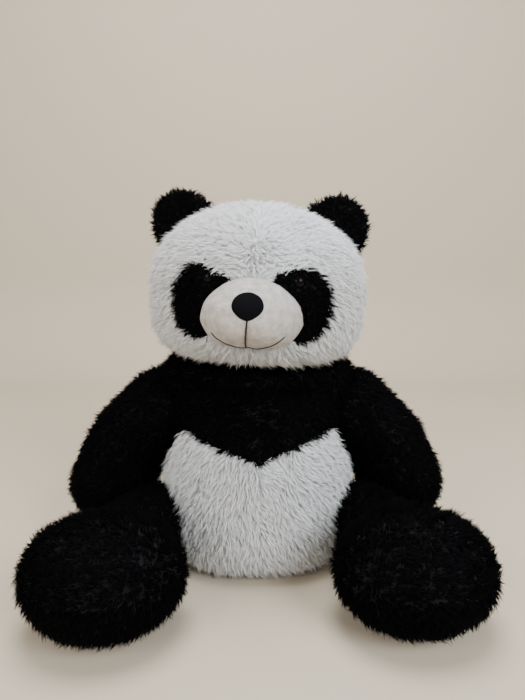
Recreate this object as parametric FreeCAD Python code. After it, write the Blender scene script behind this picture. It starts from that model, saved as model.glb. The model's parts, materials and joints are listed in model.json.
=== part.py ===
import FreeCAD, Part
import math
import os

# A seated plush panda, in millimetres. +Z is up, the panda faces -Y, and its own left side is at +X.
# The origin is on the seat's flat underside, below the middle of the torso. Every cover's outer face is
# half way up the pile, so the fur itself stands about 5 mm further out.

WALL = 5.0            # fabric and the lower half of its pile
GAP = 0.25            # between a cover and what it holds
JOINT_GAP = 0.4       # between two bodies that turn about the same centre
FAR = 400.0           # longer than anything in the model

# Torso: a round belly that sits like a sack, a dome above its middle and straight sides below, and wide,
# flatter shoulders above it.
BELLY_CENTRE = (0.0, -4.0, 86.0)
BELLY_R = 91.0
BELLY_DOME = 92.0
BELLY_CORNER_R = 40.0 # where the sides turn under to the flat seat
SHOULDER_CENTRE = (0.0, 2.0, 134.0)
SHOULDER_HALF = (93.0, 62.0, 48.0)

# White belly, seen from the front: its notched top edge is a V between two corners.
NOTCH_Z = 110.0
CORNER_X = 66.0
CORNER_Z = 129.0
BELLY_SIDE_X = 86.0
BELLY_SIDE_Z = 92.0
BACK_YOKE_Z = 128.0   # the black yoke ends lower down in front than behind
CLOSING_SEAM_Z = (48.0, 108.0)

# Neck: the head turns and nods about one centre, round a ball of stuffing.
NECK = (0.0, 0.0, 188.0)
NECK_BALL_R = 37.6
HEAD_ROLL = 3.0       # the head rests leaning to the panda's left
HEAD_YAW = 5.0        # and turned a little to its right

# Head, in its own frame with the neck's centre as origin.
HEAD_CENTRE = (0.0, -4.0, 74.0)
HEAD_HALF = (100.0, 87.0, 75.0)
HEAD_BASE_Z = 10.0
HEAD_BACK_Y = 12.0
MUZZLE_CENTRE = (0.0, -86.0, 50.0)
MUZZLE_HALF = (42.0, 42.0, 30.0)
MUZZLE_WALL = 2.5
NOSE_CENTRE = (0.0, -125.0, 62.0)
NOSE_HALF = (12.5, 6.0, 10.5)
PHILTRUM_Z = (24.0, 50.5)
SMILE_R = 38.0
SMILE_CENTRE_Z = 62.5
SMILE_TOP_Z = 38.0
STITCH_W = 1.7
STITCH_H = 0.9
PATCH_CENTRE = (43.5, 61.0)
PATCH_HALF = (33.0, 25.0)
PATCH_TILT = 2.0
PATCH_START_Y = -48.0 # in front of the neck's hollow
EYE_X = 37.0
EYE_Z = 81.0
EYE_R = 6.2
EYE_SUNK = 3.5
SHANK_R = 2.2
SHANK_LENGTH = 13.0
WASHER_R = 8.5
WASHER_T = 1.2
WASHER_DEPTH = 6.4

# Ears: half discs that fold at their base line.
EAR_BASE = (70.0, 6.0, 123.0)
EAR_TILT = 40.0
EAR_HALF = (29.0, 8.0, 33.0)
EAR_FOLDS = (-25.0, -12.0, 0.0, 12.0, 25.0)
EAR_ROOM = 0.6        # cleared round the head at each of those folds

# Arms hang from the shoulders, outwards and a little forwards.
SHOULDER = (95.0, 4.0, 137.0)
HAND = (153.0, -11.0, 66.0)
ARM_ROOT_R = 38.5
HAND_R = 31.5

# Legs point forwards and outwards from the hips, along the floor.
HIP = (96.0, -44.0, 46.0)
FOOT = (120.0, -143.0, 48.0)
LEG_ROOT_R = 31.0
LEG_END_R = 42.0
FOOT_HALF = (60.0, 50.0, 48.0)
HIP_SWINGS = (-25.0, 0.0, 24.0)
HIP_SPLAYS = (-7.0, 8.0)
LEG_ROOM = 1.4        # cleared round the leg at each of those angles
ROOT_LAP = 0.2        # the cleared cones start this much inside the cleared ball

PLUG_R = 17.0         # the balls of stuffing that the limbs turn about


def vector(point):
    return FreeCAD.Vector(*point)


def ellipsoid(centre, half, inset=0.0):
    """A solid ellipsoid, its half sizes made smaller by inset."""
    scale = FreeCAD.Matrix()
    scale.scale(FreeCAD.Vector(*[(size - inset) / 10.0 for size in half]))
    solid = Part.makeSphere(10.0).transformGeometry(scale)
    solid.translate(vector(centre))
    return solid


def block(low, high):
    """A box between two corners."""
    size = [b - a for a, b in zip(low, high)]
    return Part.makeBox(*size, vector(low))


def half_space(point, normal):
    """A large box that holds everything on the side of a plane that its normal points to."""
    box = Part.makeBox(2 * FAR, 2 * FAR, FAR, FreeCAD.Vector(-FAR, -FAR, 0))
    turn = FreeCAD.Rotation(FreeCAD.Vector(0, 0, 1), vector(normal))
    box.Placement = FreeCAD.Placement(vector(point), turn)
    return box


def mirrored(shape):
    return shape.mirror(FreeCAD.Vector(0, 0, 0), FreeCAD.Vector(1, 0, 0))


def limb_core(root, end, root_r, end_r, inset=0.0):
    """A tapered limb with round ends: two balls and the cone that touches both."""
    along = vector(end) - vector(root)
    length = along.Length
    first_r = root_r - inset
    last_r = end_r - inset
    slope = math.asin((last_r - first_r) / length)

    def profile_point(centre, radius, angle):
        return FreeCAD.Vector(radius * math.cos(angle), 0, centre - radius * math.sin(angle))

    tip = profile_point(0, first_r, math.pi / 2)
    first = profile_point(0, first_r, slope)
    last = profile_point(length, last_r, slope)
    top = profile_point(length, last_r, -math.pi / 2)
    root_arc = Part.Arc(tip, profile_point(0, first_r, (math.pi / 2 + slope) / 2), first)
    end_arc = Part.Arc(last, profile_point(length, last_r, (slope - math.pi / 2) / 2), top)
    edges = [
        root_arc.toShape(), Part.LineSegment(first, last).toShape(), end_arc.toShape(),
        Part.LineSegment(top, tip).toShape(),
    ]
    face = Part.Face(Part.Wire(edges))
    solid = face.revolve(FreeCAD.Vector(0, 0, 0), FreeCAD.Vector(0, 0, 1), 360)
    turn = FreeCAD.Rotation(FreeCAD.Vector(0, 0, 1), along)
    solid.Placement = FreeCAD.Placement(vector(root), turn)
    return solid


# ---- torso ----

def belly_form(inset):
    """A dome on a round base whose lower edge is well rounded."""
    above = half_space(BELLY_CENTRE, (0, 0, 1))
    dome = ellipsoid(BELLY_CENTRE, (BELLY_R, BELLY_R, BELLY_DOME), inset).common(above)
    foot = FreeCAD.Vector(BELLY_CENTRE[0], BELLY_CENTRE[1], inset)
    base = Part.makeCylinder(BELLY_R - inset, BELLY_CENTRE[2] - inset, foot)
    lower = [edge for edge in base.Edges if edge.BoundBox.ZMax < inset + 1.0]
    return base.makeFillet(BELLY_CORNER_R - inset, lower).fuse(dome)


def torso_form(inset):
    return belly_form(inset).fuse(ellipsoid(SHOULDER_CENTRE, SHOULDER_HALF, inset))


def leg_room():
    """The space that the left leg's root and cone pass through over the hip's whole travel."""
    radius = LEG_ROOT_R + LEG_ROOM
    length = (vector(FOOT) - vector(HIP)).Length
    space = Part.makeSphere(radius, vector(HIP))
    cone = Part.makeCone(radius - ROOT_LAP, LEG_END_R + LEG_ROOM, length)
    turn = FreeCAD.Rotation(FreeCAD.Vector(0, 0, 1), vector(FOOT) - vector(HIP))
    for splay in HIP_SPLAYS:
        for swing in HIP_SWINGS:
            swung = cone.copy()
            swung.Placement = FreeCAD.Placement(vector(HIP), turn)
            swung.rotate(vector(HIP), FreeCAD.Vector(0, 0, 1), splay)
            swung.rotate(vector(HIP), FreeCAD.Vector(-1, 0, 0), swing)
            space = space.fuse(swung)
    return space


def arm_room():
    """The space that the left arm needs as it swings: its inner side, turned about the shoulder."""
    along = vector(HAND) - vector(SHOULDER)
    outwards = along.x / along.Length
    away = math.hypot(along.y, along.z) / along.Length
    radius = ARM_ROOT_R + JOINT_GAP

    def place(distance, angle_cos, angle_sin):
        """A point beside the arm's middle line, x along the shoulder's axis and z away from it."""
        x = distance * outwards - radius * angle_cos
        z = distance * away + radius * angle_sin
        return FreeCAD.Vector(x, 0, z)

    start = FreeCAD.Vector(-radius, 0, 0)
    half_angle = math.asin(outwards) / 2
    middle = FreeCAD.Vector(-radius * math.cos(half_angle), 0, radius * math.sin(half_angle))
    first = place(0, away, outwards)
    last = place(along.Length, away, outwards)
    far_top = FreeCAD.Vector(FAR, 0, last.z)
    far_axis = FreeCAD.Vector(FAR, 0, 0)
    edges = [Part.Arc(start, middle, first).toShape()]
    corners = [first, last, far_top, far_axis, start]
    for a, b in zip(corners, corners[1:]):
        edges.append(Part.LineSegment(a, b).toShape())
    face = Part.Face(Part.Wire(edges))
    room = face.revolve(FreeCAD.Vector(0, 0, 0), FreeCAD.Vector(1, 0, 0), 360)
    room.translate(vector(SHOULDER))
    return room


def joint_room():
    """Everything that the head and the limbs need cleared out of the torso."""
    neck = Part.makeSphere(NECK_BALL_R + JOINT_GAP, vector(NECK))
    arm = arm_room()
    leg = leg_room()
    return [neck, arm, mirrored(arm), leg, mirrored(leg)]


def belly_outline():
    """A prism along Y with the white belly's outline, open downwards."""
    points = [
        (0.0, NOTCH_Z), (CORNER_X, CORNER_Z), (BELLY_SIDE_X, BELLY_SIDE_Z),
        (BELLY_SIDE_X, -10.0), (-BELLY_SIDE_X, -10.0), (-BELLY_SIDE_X, BELLY_SIDE_Z),
        (-CORNER_X, CORNER_Z), (0.0, NOTCH_Z),
    ]
    wire = Part.makePolygon([FreeCAD.Vector(x, 0, z) for x, z in points])
    return Part.Face(wire).extrude(FreeCAD.Vector(0, -FAR, 0))


def make_torso(parts):
    room = joint_room()
    cover = torso_form(0.0).cut(torso_form(WALL)).cut(room)
    front = cover.common(half_space((0, 0, 0), (0, -1, 0)))
    back = cover.common(half_space((0, 0, 0), (0, 1, 0)))
    belly = front.common(belly_outline())
    left = half_space((0, 0, 0), (1, 0, 0))
    right = half_space((0, 0, 0), (-1, 0, 0))
    lower = half_space((0, 0, BACK_YOKE_Z), (0, 0, -1))
    back_skirt = back.common(lower)
    parts["chest_yoke"] = front.cut(belly_outline())
    parts["back_yoke"] = back.cut(lower)
    parts["belly_panel_left"] = belly.common(left)
    parts["belly_panel_right"] = belly.common(right)
    parts["back_panel_left"] = back_skirt.common(left)
    parts["back_panel_right"] = back_skirt.common(right)
    parts["torso_stuffing"] = torso_form(WALL + GAP).cut(room)
    skin = torso_form(-STITCH_H - 0.1).cut(torso_form(-0.1))
    slit = block((-STITCH_W / 2, 0, CLOSING_SEAM_Z[0]), (STITCH_W / 2, FAR, CLOSING_SEAM_Z[1]))
    parts["closing_seam"] = skin.common(slit)
    parts["neck_stuffing"] = Part.makeSphere(NECK_BALL_R, vector(NECK))


# ---- head, in its own frame ----

def place_head(shape):
    """Moves a shape from the head's own frame to where the head rests."""
    placed = shape.copy()
    placed.rotate(FreeCAD.Vector(0, 0, 0), FreeCAD.Vector(0, 1, 0), HEAD_ROLL)
    placed.rotate(FreeCAD.Vector(0, 0, 0), FreeCAD.Vector(0, 0, 1), -HEAD_YAW)
    placed.translate(vector(NECK))
    return placed


def head_form(inset):
    """The head's ellipsoid, flat below and hollowed to turn on the neck's ball."""
    solid = ellipsoid(HEAD_CENTRE, HEAD_HALF, inset)
    above = half_space((0, 0, HEAD_BASE_Z + inset), (0, 0, 1))
    return solid.common(above)


def neck_hollow(wall):
    return Part.makeSphere(NECK_BALL_R + JOINT_GAP + wall)


def head_normal(x, z):
    """The point of the head's front face at x and z, and the way it faces there."""
    across = (x - HEAD_CENTRE[0]) / HEAD_HALF[0]
    up = (z - HEAD_CENTRE[2]) / HEAD_HALF[2]
    deep = math.sqrt(1.0 - across ** 2 - up ** 2)
    point = FreeCAD.Vector(x, HEAD_CENTRE[1] - HEAD_HALF[1] * deep, z)
    normal = FreeCAD.Vector(across / HEAD_HALF[0], -deep / HEAD_HALF[1], up / HEAD_HALF[2])
    normal.normalize()
    return point, normal


def eye_patch_prism():
    """The left eye patch's outline, an oval leaning outwards at its top, as a prism along Y."""
    tilt = math.radians(PATCH_TILT)
    centre = FreeCAD.Vector(PATCH_CENTRE[0], PATCH_START_Y, PATCH_CENTRE[1])
    long_way = FreeCAD.Vector(math.sin(tilt), 0, math.cos(tilt))
    short_way = FreeCAD.Vector(math.cos(tilt), 0, -math.sin(tilt))
    oval = Part.Ellipse(
        centre + long_way * PATCH_HALF[0], centre + short_way * PATCH_HALF[1], centre
    )
    return Part.Face(Part.Wire(oval.toShape())).extrude(FreeCAD.Vector(0, -FAR, 0))


def eye_pieces(grow=0.0):
    """The left eye's dome with its shank, and the washer that locks it inside the head."""
    surface, normal = head_normal(EYE_X, EYE_Z)
    base = surface - normal * EYE_SUNK
    dome = Part.makeSphere(EYE_R + grow, base).common(half_space(base - normal * grow, normal))
    shank = Part.makeCylinder(SHANK_R + grow, SHANK_LENGTH + grow, base, normal * -1)
    inside = surface - normal * (WASHER_DEPTH - grow)
    washer = Part.makeCylinder(WASHER_R + grow, WASHER_T + 2 * grow, inside, normal * -1)
    if grow == 0.0:
        washer = washer.cut(Part.makeCylinder(SHANK_R + GAP / 2, FAR, surface, normal * -1))
    return dome.fuse(shank).removeSplitter(), washer


def surface_stitch(centre, half, region):
    """A raised thread on an ellipsoid, where it passes through a region."""
    over = ellipsoid(centre, half, -STITCH_H - 0.1)
    under = ellipsoid(centre, half, -0.1)
    return over.cut(under).common(region)


def make_muzzle(parts):
    outside = ellipsoid(HEAD_CENTRE, HEAD_HALF, -GAP)
    whole = ellipsoid(MUZZLE_CENTRE, MUZZLE_HALF)
    hollow = ellipsoid(MUZZLE_CENTRE, MUZZLE_HALF, MUZZLE_WALL)
    core = ellipsoid(MUZZLE_CENTRE, MUZZLE_HALF, MUZZLE_WALL + GAP)
    in_front = half_space((0, HEAD_CENTRE[1], 0), (0, -1, 0))
    parts["muzzle_cover"] = whole.cut(hollow).common(in_front).cut(outside)
    parts["muzzle_stuffing"] = core.common(in_front).cut(outside)
    grown = ellipsoid(MUZZLE_CENTRE, MUZZLE_HALF, -0.1)
    nose = ellipsoid(NOSE_CENTRE, NOSE_HALF).cut(grown).common(
        half_space((0, NOSE_CENTRE[1] + 3.0, 0), (0, -1, 0))
    )
    parts["nose"] = nose
    line = block(
        (-STITCH_W / 2, -FAR, PHILTRUM_Z[0]), (STITCH_W / 2, MUZZLE_CENTRE[1], PHILTRUM_Z[1])
    )
    parts["philtrum_stitch"] = surface_stitch(MUZZLE_CENTRE, MUZZLE_HALF, line)
    centre = FreeCAD.Vector(0, MUZZLE_CENTRE[1], SMILE_CENTRE_Z)
    forward = FreeCAD.Vector(0, -1, 0)
    arc = Part.makeCylinder(SMILE_R + STITCH_W / 2, FAR, centre, forward).cut(
        Part.makeCylinder(SMILE_R - STITCH_W / 2, FAR, centre, forward)
    )
    smile_room = block((-FAR, -FAR, -FAR), (FAR, MUZZLE_CENTRE[1], SMILE_TOP_Z))
    middle = block((-STITCH_W / 2 - 0.1, -FAR, -FAR), (STITCH_W / 2 + 0.1, 0, FAR))
    smile = surface_stitch(MUZZLE_CENTRE, MUZZLE_HALF, arc.common(smile_room).cut(middle))
    parts["smile_stitch"] = smile.cut(outside)


def make_head(parts):
    outer = head_form(0.0).cut(neck_hollow(0.0))
    cover = outer.cut(head_form(WALL).cut(neck_hollow(WALL)))
    core = head_form(WALL + GAP).cut(neck_hollow(WALL + GAP))
    eye, washer = eye_pieces()
    eye_space, washer_space = eye_pieces(GAP)
    eye_holes = [eye_space, mirrored(eye_space)]
    washer_holes = [washer_space, mirrored(washer_space)]
    patch = eye_patch_prism()
    patches = [patch, mirrored(patch)]
    front = cover.common(half_space((0, HEAD_BACK_Y, 0), (0, -1, 0))).cut(eye_holes)
    plain = front.cut(patches)
    local = {
        "head_front_left": plain.common(half_space((0, 0, 0), (1, 0, 0))),
        "head_front_right": plain.common(half_space((0, 0, 0), (-1, 0, 0))),
        "head_back": cover.common(half_space((0, HEAD_BACK_Y, 0), (0, 1, 0))),
        "eye_patch_left": front.common(patch),
        "eye_patch_right": front.common(mirrored(patch)),
        "head_stuffing": core.cut(eye_holes + washer_holes),
        "eye_left": eye,
        "eye_right": mirrored(eye),
        "eye_washer_left": washer,
        "eye_washer_right": mirrored(washer),
    }
    make_muzzle(local)
    make_ears(local)
    for name, shape in local.items():
        parts[name] = place_head(shape)


def ear_room():
    """The left ear's view of the head, in the ear's own frame, at each angle that the ear folds to."""
    head = ellipsoid(HEAD_CENTRE, HEAD_HALF, -EAR_ROOM)
    head.translate(vector(EAR_BASE) * -1)
    head.rotate(FreeCAD.Vector(0, 0, 0), FreeCAD.Vector(0, 1, 0), -EAR_TILT)
    space = []
    for fold in EAR_FOLDS:
        turned = head.copy()
        turned.rotate(FreeCAD.Vector(0, 0, 0), FreeCAD.Vector(1, 0, 0), fold)
        space.append(turned)
    return space


def make_ears(local):
    """Each ear is two half discs of pile fabric, back to back, standing on the fold line."""
    disc = ellipsoid((0, 0, 0), EAR_HALF).cut(ear_room())
    halves = {
        "ear_front": disc.common(half_space((0, -GAP / 2, 0), (0, -1, 0))),
        "ear_back": disc.common(half_space((0, GAP / 2, 0), (0, 1, 0))),
    }
    for name, half in halves.items():
        ear = half.common(half_space((0, 0, 0), (0, 0, 1)))
        ear.rotate(FreeCAD.Vector(0, 0, 0), FreeCAD.Vector(0, 1, 0), EAR_TILT)
        ear.translate(vector(EAR_BASE))
        local[name + "_left"] = ear
        local[name + "_right"] = mirrored(ear)


# ---- limbs ----

def arm_form(inset):
    """The left arm, from its round root in the shoulder to its round hand."""
    return limb_core(SHOULDER, HAND, ARM_ROOT_R, HAND_R, inset)


def leg_form(inset):
    """The left leg: a round root in the hip, a tapered shin, and a wide upright foot."""
    limb = limb_core(HIP, FOOT, LEG_ROOT_R, LEG_END_R, inset)
    return limb.fuse(ellipsoid(FOOT, FOOT_HALF, inset))


def make_limb(parts, form, joint, panels, stuffing, plug):
    """A limb's cover in panels, its stuffing, and the ball of stuffing at its joint."""
    room = Part.makeSphere(PLUG_R + JOINT_GAP, vector(joint))
    cover = form(0.0).cut(form(WALL))
    left = {name: cover.common(region) for name, region in panels.items()}
    left[stuffing] = form(WALL + GAP).cut(room)
    left[plug] = Part.makeSphere(PLUG_R, vector(joint))
    for name, shape in left.items():
        parts[name + "_left"] = shape
        parts[name + "_right"] = mirrored(shape)


def make_arms(parts):
    along = vector(HAND) - vector(SHOULDER)
    outwards = along.cross(FreeCAD.Vector(0, 1, 0))
    panels = {
        "arm_outer": half_space(SHOULDER, tuple(outwards)),
        "arm_inner": half_space(SHOULDER, tuple(outwards * -1)),
    }
    make_limb(parts, arm_form, SHOULDER, panels, "arm_stuffing", "shoulder_stuffing")


def make_legs(parts):
    seam_z = FOOT[2]
    panels = {
        "leg_upper": half_space((0, 0, seam_z), (0, 0, 1)),
        "leg_lower": half_space((0, 0, seam_z), (0, 0, -1)),
    }
    make_limb(parts, leg_form, HIP, panels, "leg_stuffing", "hip_stuffing")


def main():
    os.makedirs("parts", exist_ok=True)
    parts = {}
    make_torso(parts)
    make_head(parts)
    make_arms(parts)
    make_legs(parts)
    for name, shape in parts.items():
        solids = shape.Solids
        shape = solids[0] if len(solids) == 1 else Part.makeCompound(solids)
        shape.exportStep("parts/" + name + ".step")
        box = shape.BoundBox
        low = (round(box.XMin, 1), round(box.YMin, 1), round(box.ZMin, 1))
        high = (round(box.XMax, 1), round(box.YMax, 1), round(box.ZMax, 1))
        print(name, len(solids), shape.isValid(), round(shape.Volume / 1000.0, 2), "cm3", low, high)


main()
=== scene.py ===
import json
import math

import bmesh
import bpy
import numpy as np
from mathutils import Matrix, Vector
from mathutils.bvhtree import BVHTree


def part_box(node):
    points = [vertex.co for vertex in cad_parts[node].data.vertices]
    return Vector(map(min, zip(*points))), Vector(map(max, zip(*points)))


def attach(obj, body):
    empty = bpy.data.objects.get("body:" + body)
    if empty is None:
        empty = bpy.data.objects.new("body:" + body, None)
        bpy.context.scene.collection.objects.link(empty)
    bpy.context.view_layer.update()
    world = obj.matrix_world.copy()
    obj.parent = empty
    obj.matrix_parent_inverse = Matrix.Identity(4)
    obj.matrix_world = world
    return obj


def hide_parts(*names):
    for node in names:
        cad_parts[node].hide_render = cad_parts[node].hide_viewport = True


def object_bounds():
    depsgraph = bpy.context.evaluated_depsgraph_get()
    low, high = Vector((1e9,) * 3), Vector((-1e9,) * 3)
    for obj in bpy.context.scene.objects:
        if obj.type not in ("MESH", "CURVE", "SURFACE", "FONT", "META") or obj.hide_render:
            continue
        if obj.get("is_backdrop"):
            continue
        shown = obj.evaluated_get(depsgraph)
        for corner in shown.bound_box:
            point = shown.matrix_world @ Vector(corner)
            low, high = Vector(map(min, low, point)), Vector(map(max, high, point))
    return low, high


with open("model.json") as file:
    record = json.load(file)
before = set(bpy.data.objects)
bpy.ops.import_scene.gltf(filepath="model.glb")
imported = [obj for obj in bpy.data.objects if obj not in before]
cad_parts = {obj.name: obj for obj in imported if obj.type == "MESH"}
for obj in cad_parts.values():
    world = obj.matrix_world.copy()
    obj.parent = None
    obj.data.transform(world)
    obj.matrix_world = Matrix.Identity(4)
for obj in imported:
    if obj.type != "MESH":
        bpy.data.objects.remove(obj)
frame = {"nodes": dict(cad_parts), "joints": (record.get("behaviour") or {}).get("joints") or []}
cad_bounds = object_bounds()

# A seated plush panda. Shapes are worked out in millimetres, and in metres once a piece is made.
# The panda faces -Y and its own left side is at +X. The head's own frame starts at the neck's centre.

MM = 0.001
SIDES = {"left": 1.0, "right": -1.0}
SKIN_DEPTH = 4.5          # the cloth lies this far below the middle of the pile
ROOT_DEPTH = 0.8          # a strand starts this far below its cloth
ATLAS = "OFBake"          # u runs from a strand's root to its tip, v is a random number for the strand

# The head leans and turns a little at rest.
HEAD_ROLL = math.radians(3.0)
HEAD_YAW = math.radians(-5.0)
HEAD_CENTRE = np.array([-2.5, -4.0, 74.0])
HEAD_HALF = np.array([101.0, 87.0, 75.0])
HEAD_JOWL = 4.9           # the head is squarer below its middle, 2 being an oval
HEAD_PRESSED = 9.0        # its underside is pressed up this far by the chest
FACE_X = -1.4             # the face was sewn on a little to the panda's right
PATCH_X = -3.0            # and the eye patches a little more
MUZZLE_MIDDLE = np.array([FACE_X, 51.0])
MUZZLE_TIP_Z = 57.0
NOSE_Z = 63.0
NOSE_HALF = (12.4, 10.3)
PHILTRUM_LOW_Z = 25.2
SMILE_HALF = 29.0         # the smile's half width, the height of its middle and how far its ends rise
SMILE_LOW_Z = 25.4
SMILE_RISE = 14.5
MUZZLE_BACK_Y = -62.0
MUZZLE_FRONT_Y = -127.0
PATCH_MIDDLE = np.array([43.0, 61.5])
PATCH_HALF = np.array([24.0, 31.5])
PATCH_TUFT = np.array([25.0, 78.0])      # the patch runs to a blunt point beside the muzzle's top
PATCH_TUFT_R = 9.5
EYE_X = 37.0
EYE_Z = 81.0
EYE_R = 6.2
EYE_SINK = 3.1            # the dome's middle is this far inside the head's skin
EAR_BASE = np.array([70.0, 6.0, 123.0])
EAR_HALF = np.array([29.0, 8.0, 33.0])
EAR_TILT = math.radians(40.0)
EAR_SKIN_GROWTH = np.array([0.8, -2.8, 3.0])      # the skin's half sizes against the CAD cushion's
EAR_ROOT = 0.28           # the half inside the head keeps this share of its height
EAR_CUP = 3.0             # the middle is bent back this far
EAR_SHIFT = np.array([-5.0, 0.0, 2.0])   # against the CAD ears: to the panda's right, and up
EAR_LEFT_RISE = 0.5       # the left one is this much higher, and the right one lower

BELLY_CENTRE = np.array([0.0, -4.0, 86.0])
BELLY_HALF = np.array([91.0, 91.0, 92.0])
BELLY_SAG = 5.0           # the belly is squarer below its middle, where it sits
BELLY_PLAN = 2.7          # and a little squarer seen from above
SHOULDERS_CENTRE = np.array([0.0, 2.0, 136.0])
SHOULDERS_HALF = np.array([98.0, 62.0, 49.0])
SHOULDER_TOP = np.array([65.0, 1.0, 163.0])      # the yoke is full right up to the head
SHOULDER_TOP_R = 31.0
NECK_MIDDLE = np.array([0.0, 0.0, 174.0])
NECK_HALF = np.array([72.0, 50.0, 21.0])
HAND_R = 31.5
HAND_SKIN_R = HAND_R + 4.2
HAND_IN = 7.5             # the hand's skin leans this far in, on to the belly
ARM_R = 38.5
ARM_BOW = np.array([4.0, 0.0, 3.0])      # how far the arm's middle bows outwards and up
ARM_SKIN_DEPTH = 2.0
FOOT_HALF = np.array([60.0, 50.0, 48.0])
FOOT_SKIN_DEPTH = np.array([0.5, 3.5, SKIN_DEPTH])
LEG_ROOT_R = 31.0
LEG_END_R = 42.0
ARM_BURIED_R = 33.0       # the torso grows no pile this near to the middle of a limb's root
LEG_BURIED_R = 26.0
SEAT_Z = 2.0              # the skins are flat where they rest on the floor
SOLE_Z = 2.5
FLOOR_GAP = 1.0           # no strand's middle line goes lower than this
BELLY_NOTCH_Z = 110.0
BELLY_CORNER = np.array([66.0, 129.0])
BELLY_SIDE = np.array([86.0, 92.0])
BACK_YOKE_Z = 128.0
NECK_BARE = (52.0, 34.0)  # the half sizes of the neck's top that the head hides, where no pile grows
SEAT_BARE_Z = 3.0
HEAD_BARE_Z = 7.0         # no pile grows on the head below this, where it sits on the neck
HEAD_BACK_Y = 12.0        # the head's back panel starts here

HEAD_PILE = 10.5          # the lengths of the pile
MUZZLE_SIDE_TRIM = 2.5    # it is shorter beside the muzzle
CHIN_PILE_EXTRA = 3.5
PATCH_PILE_SHARE = 0.80
EAR_PILE = 7.5
WHITE_BODY_PILE = 11.5
BLACK_BODY_PILE = 10.5
ARM_PILE = 10.5
LEG_PILE = 9.5
SOLE_PILE = 5.5
SOLE_PILE_TOP_Z = 12.0


def joint_place(name):
    """Where a joint is, in millimetres."""
    for joint in frame["joints"]:
        if joint["name"] == name:
            return np.array(joint["pos_m"]) / MM
    raise ValueError(name)


NECK = joint_place("neck_nod")


# ---- numbers and directions ----

def unit(vectors):
    length = np.linalg.norm(vectors, axis=-1, keepdims=True)
    return vectors / np.maximum(length, 1e-9)


def smooth_step(low, high, value):
    t = np.clip((value - low) / (high - low), 0.0, 1.0)
    return t * t * (3.0 - 2.0 * t)


def wavy(points, wavelength, seed, waves=5):
    """A smooth random number from about -1 to 1 at each point."""
    rng = np.random.default_rng(seed)
    total = np.zeros(len(points))
    for _ in range(waves):
        direction = unit(rng.normal(size=3))
        phase = rng.uniform(0, 2 * math.pi)
        stretch = rng.uniform(0.7, 1.5)
        total += np.sin(points @ direction * (2 * math.pi * stretch / wavelength) + phase)
    return total / math.sqrt(waves)


def head_turn():
    """The rotation from the head's own frame to its place at rest."""
    c, s = math.cos(HEAD_ROLL), math.sin(HEAD_ROLL)
    roll = np.array([[c, 0, s], [0, 1, 0], [-s, 0, c]])
    c, s = math.cos(HEAD_YAW), math.sin(HEAD_YAW)
    yaw = np.array([[c, -s, 0], [s, c, 0], [0, 0, 1]])
    return yaw @ roll


HEAD_TURN = head_turn()


def from_head(points):
    return points @ HEAD_TURN.T + NECK


# ---- meshes ----

def new_object(name, verts, faces, material, body):
    """A smooth piece from points in millimetres."""
    mesh = bpy.data.meshes.new(name)
    mesh.from_pydata((np.asarray(verts) * MM).tolist(), [], [tuple(map(int, f)) for f in faces])
    mesh.validate()
    mesh.shade_smooth()
    piece = bpy.data.objects.new(name, mesh)
    bpy.context.collection.objects.link(piece)
    mesh.materials.append(material)
    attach(piece, body)
    return piece


def ball_mesh(level):
    """The points and faces of a unit ball made of small even triangles."""
    mesh = bpy.data.meshes.new("ball")
    build = bmesh.new()
    bmesh.ops.create_icosphere(build, subdivisions=level, radius=1.0)
    build.to_mesh(mesh)
    build.free()
    verts = np.zeros(len(mesh.vertices) * 3)
    mesh.vertices.foreach_get("co", verts)
    faces = np.array([p.vertices[:] for p in mesh.polygons])
    bpy.data.meshes.remove(mesh)
    return unit(verts.reshape(-1, 3)), faces


def vertex_normals(verts, faces):
    """Area-weighted normals of a triangle mesh."""
    a, b, c = (verts[faces[:, i]] for i in range(3))
    across = np.cross(b - a, c - a)
    normals = np.zeros_like(verts)
    for i in range(3):
        np.add.at(normals, faces[:, i], across)
    return unit(normals)


def joined(parts):
    """Several point and face lists as one."""
    verts, faces, start = [], [], 0
    for v, f in parts:
        verts.append(v)
        faces.append(f + start)
        start += len(v)
    return np.concatenate(verts), np.concatenate(faces)


def blended(parts, voxel, rounds):
    """One smooth closed skin round several overlapping closed meshes, as triangles."""
    verts, faces = joined(parts)
    mesh = bpy.data.meshes.new("blend")
    mesh.from_pydata(verts.tolist(), [], faces.tolist())
    piece = bpy.data.objects.new("blend", mesh)
    bpy.context.collection.objects.link(piece)
    remesh = piece.modifiers.new("remesh", "REMESH")
    remesh.mode = "VOXEL"
    remesh.voxel_size = voxel
    smooth = piece.modifiers.new("smooth", "SMOOTH")
    smooth.factor = 0.6
    smooth.iterations = rounds
    triangles = piece.modifiers.new("triangles", "TRIANGULATE")
    triangles.quad_method = "FIXED"
    found = piece.evaluated_get(bpy.context.evaluated_depsgraph_get()).to_mesh()
    out = np.zeros(len(found.vertices) * 3)
    found.vertices.foreach_get("co", out)
    tri = np.zeros(len(found.polygons) * 3, dtype=np.int32)
    found.polygons.foreach_get("vertices", tri)
    bpy.data.objects.remove(piece)
    bpy.data.meshes.remove(mesh)
    return out.reshape(-1, 3), tri.reshape(-1, 3)


# ---- skins: the sewn cloth that the pile grows on ----

def ellipsoid(centre, half, level=5):
    verts, faces = ball_mesh(level)
    return verts * half + centre, faces


def capsule(first, last, first_r, last_r, level=5):
    """A tapered limb with round ends."""
    verts, faces = ball_mesh(level)
    along = unit(last - first)
    high = (verts @ along > 0)[:, None]
    radius = np.where(high, last_r, first_r)
    return verts * radius + np.where(high, last, first), faces


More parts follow.
